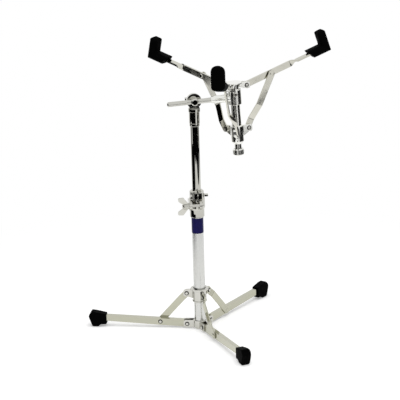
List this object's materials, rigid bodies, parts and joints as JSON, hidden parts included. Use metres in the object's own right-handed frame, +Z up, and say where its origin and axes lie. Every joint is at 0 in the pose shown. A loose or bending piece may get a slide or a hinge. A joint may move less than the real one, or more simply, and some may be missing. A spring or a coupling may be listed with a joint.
{
  "type": "snare drum stand",
  "caption": "Folding stand with a flat tripod base, telescoping post, tilter rod and a gripping basket of arms with rubber sleeves that holds a snare drum.",
  "frame": {"origin": "on the floor under the axis of the post", "axes": "+Z up along the post, +X along the tilter rod from the post to the basket"},
  "size_m": [0.5488, 0.4241, 0.6461],
  "materials": {
    "chrome": "bright chrome plate on steel",
    "rubber": "moulded black rubber, satin",
    "label": "plain navy foil band",
    "nylon": "black nylon liner",
    "rivet_steel": "plated steel fastener"
  },
  "bodies": {
    "post": {"lower_tube": "chrome", "label_band": "label", "leg_hub": "chrome", "leg_pivot_rivets": "rivet_steel", "height_clamp": "chrome", "clamp_bolt": "rivet_steel", "clamp_washer": "rivet_steel"},
    "collar": {"leg_collar": "chrome", "collar_bush": "nylon", "collar_rivets": "rivet_steel"},
    "thumbscrew": {"leg_thumbscrew": "chrome"},
    "clamp_nut": {"clamp_wing_nut": "chrome"},
    "swivel_bush": {"height_bush": "nylon"},
    "lock": {"memory_lock": "chrome"},
    "lock_bolt": {"lock_key_bolt": "rivet_steel"},
    "riser": {"upper_tube": "chrome", "head_ring": "chrome", "tilter_head": "chrome"},
    "tilter": {"eye_bolt": "chrome", "tilter_washer": "rivet_steel"},
    "tilter_nut": {"tilter_wing_nut": "chrome"},
    "basket": {"tilter_rod": "chrome", "basket_block": "chrome", "block_screw": "rivet_steel", "centre_tube": "chrome", "top_hub": "chrome", "arm_pivot_rivets": "rivet_steel", "screw_plug": "chrome"},
    "hub": {"lower_hub": "chrome", "strut_rivets": "rivet_steel"},
    "knob": {"adjusting_knob": "chrome"},
    "leg_rear": {"leg_rear": "chrome", "leg_rivet_rear": "rivet_steel", "foot_rear": "rubber"},
    "brace_rear": {"brace_rear": "chrome"},
    "leg_left": {"leg_left": "chrome", "leg_rivet_left": "rivet_steel", "foot_left": "rubber"},
    "brace_left": {"brace_left": "chrome"},
    "leg_front": {"leg_front": "chrome", "leg_rivet_front": "rivet_steel", "foot_front": "rubber"},
    "brace_front": {"brace_front": "chrome"},
    "arm_right": {"arm_right": "chrome", "arm_rivet_right": "rivet_steel", "sleeve_right": "rubber"},
    "strut_right": {"strut_right": "chrome"},
    "arm_left": {"arm_left": "chrome", "arm_rivet_left": "rivet_steel", "sleeve_left": "rubber"},
    "strut_left": {"strut_left": "chrome"},
    "arm_front": {"arm_front": "chrome", "arm_rivet_front": "rivet_steel", "sleeve_front": "rubber"},
    "strut_front": {"strut_front": "chrome"}
  },
  "joints": [
    {"name": "leg_collar_slide", "type": "slide", "parent": "post", "child": "collar", "axis": [0, 0, 1], "range_m": [0, 0.07971]},
    {"name": "leg_rear_fold", "type": "hinge", "parent": "post", "child": "leg_rear", "pos_m": [0.02043, 0.01987, 0.011], "axis": [0.6972, -0.7169, 0], "range_deg": [-0.5, 80.5]},
    {"name": "brace_rear_swing", "type": "hinge", "parent": "collar", "child": "brace_rear", "pos_m": [0.02043, 0.01987, 0.0805], "axis": [0.6972, -0.7169, 0], "range_deg": [-37.92, 0.5]},
    {"name": "leg_left_fold", "type": "hinge", "parent": "post", "child": "leg_left", "pos_m": [-0.02742, 0.00776, 0.011], "axis": [0.2723, 0.9622, 0], "range_deg": [-0.5, 80.5]},
    {"name": "brace_left_swing", "type": "hinge", "parent": "collar", "child": "brace_left", "pos_m": [-0.02742, 0.00776, 0.0805], "axis": [0.2723, 0.9622, 0], "range_deg": [-37.92, 0.5]},
    {"name": "leg_front_fold", "type": "hinge", "parent": "post", "child": "leg_front", "pos_m": [0.00699, -0.02763, 0.011], "axis": [-0.9694, -0.2453, 0], "range_deg": [-0.5, 80.5]},
    {"name": "brace_front_swing", "type": "hinge", "parent": "collar", "child": "brace_front", "pos_m": [0.00699, -0.02763, 0.0805], "axis": [-0.9694, -0.2453, 0], "range_deg": [-37.92, 0.5]},
    {"name": "thumbscrew_turn", "type": "hinge", "parent": "collar", "child": "thumbscrew", "pos_m": [-0.00581, 0.02329, 0.0805], "axis": [-0.2419, 0.9703, 0], "continuous": true},
    {"name": "clamp_nut_turn", "type": "hinge", "parent": "post", "child": "clamp_nut", "pos_m": [-0.026, -0.024, 0.2895], "axis": [-1, 0, 0], "continuous": true},
    {"name": "swivel", "type": "hinge", "parent": "post", "child": "swivel_bush", "pos_m": [0, 0, 0.29], "axis": [0, 0, 1], "continuous": true},
    {"name": "lock_swivel", "type": "hinge", "parent": "post", "child": "lock", "pos_m": [0, 0, 0.3003], "axis": [0, 0, 1], "range_deg": [-90, 90]},
    {"name": "lock_bolt_turn", "type": "hinge", "parent": "lock", "child": "lock_bolt", "pos_m": [0, -0.0146, 0.30905], "axis": [1, 0, 0], "continuous": true},
    {"name": "height_slide", "type": "slide", "parent": "swivel_bush", "child": "riser", "axis": [0, 0, 1], "range_m": [-0.12, 0.06]},
    {"name": "tilt", "type": "hinge", "parent": "riser", "child": "tilter", "pos_m": [0, 0, 0.515], "axis": [0, -1, 0], "range_deg": [-20, 40]},
    {"name": "tilter_nut_turn", "type": "hinge", "parent": "tilter", "child": "tilter_nut", "pos_m": [0, 0.012, 0.515], "axis": [0, 1, 0], "continuous": true},
    {"name": "rod_slide", "type": "slide", "parent": "tilter", "child": "basket", "axis": [0.9989, 0, 0.0471], "range_m": [-0.015, 0.035]},
    {"name": "basket_grip", "type": "slide", "parent": "basket", "child": "hub", "axis": [-0.0471, 0, 0.9989], "range_m": [0, 0.02639]},
    {"name": "knob_turn", "type": "hinge", "parent": "hub", "child": "knob", "pos_m": [0.09158, -0.01005, 0.40719], "axis": [-0.0471, 0, 0.9989], "range_deg": [-10, 4760]},
    {"name": "arm_right_swing", "type": "hinge", "parent": "basket", "child": "arm_right", "pos_m": [0.11196, -0.00391, 0.54411], "axis": [0.223, -0.9748, 0.0105], "range_deg": [-0.5, 49.1]},
    {"name": "strut_right_swing", "type": "hinge", "parent": "hub", "child": "strut_right", "pos_m": [0.11591, -0.00402, 0.44989], "axis": [0.223, -0.9748, 0.0105], "range_deg": [-0.5, 16.23]},
    {"name": "arm_left_swing", "type": "hinge", "parent": "basket", "child": "arm_left", "pos_m": [0.06648, 0.01009, 0.54196], "axis": [0.7317, 0.6807, 0.0345], "range_deg": [-0.5, 49.1]},
    {"name": "strut_left_swing", "type": "hinge", "parent": "hub", "child": "strut_left", "pos_m": [0.07127, 0.00973, 0.44778], "axis": [0.7317, 0.6807, 0.0345], "range_deg": [-0.5, 16.23]},
    {"name": "arm_front_swing", "type": "hinge", "parent": "basket", "child": "arm_front", "pos_m": [0.07711, -0.03633, 0.54246], "axis": [-0.9547, 0.294, -0.045], "range_deg": [-0.5, 49.1]},
    {"name": "strut_front_swing", "type": "hinge", "parent": "hub", "child": "strut_front", "pos_m": [0.0817, -0.03586, 0.44827], "axis": [-0.9547, 0.294, -0.045], "range_deg": [-0.5, 16.23]}
  ],
  "couplings": [
    {"joint": "leg_rear_fold", "follows": "leg_collar_slide", "rad_per_m": 17.518},
    {"joint": "brace_rear_swing", "follows": "leg_collar_slide", "rad_per_m": -8.1936},
    {"joint": "leg_left_fold", "follows": "leg_collar_slide", "rad_per_m": 17.518},
    {"joint": "brace_left_swing", "follows": "leg_collar_slide", "rad_per_m": -8.1936},
    {"joint": "leg_front_fold", "follows": "leg_collar_slide", "rad_per_m": 17.518},
    {"joint": "brace_front_swing", "follows": "leg_collar_slide", "rad_per_m": -8.1936},
    {"joint": "knob_turn", "follows": "basket_grip", "rad_per_m": 3141.6},
    {"joint": "arm_right_swing", "follows": "basket_grip", "rad_per_m": 32.147},
    {"joint": "strut_right_swing", "follows": "basket_grip", "rad_per_m": 10.408},
    {"joint": "arm_left_swing", "follows": "basket_grip", "rad_per_m": 32.147},
    {"joint": "strut_left_swing", "follows": "basket_grip", "rad_per_m": 10.408},
    {"joint": "arm_front_swing", "follows": "basket_grip", "rad_per_m": 32.147},
    {"joint": "strut_front_swing", "follows": "basket_grip", "rad_per_m": 10.408}
  ]
}
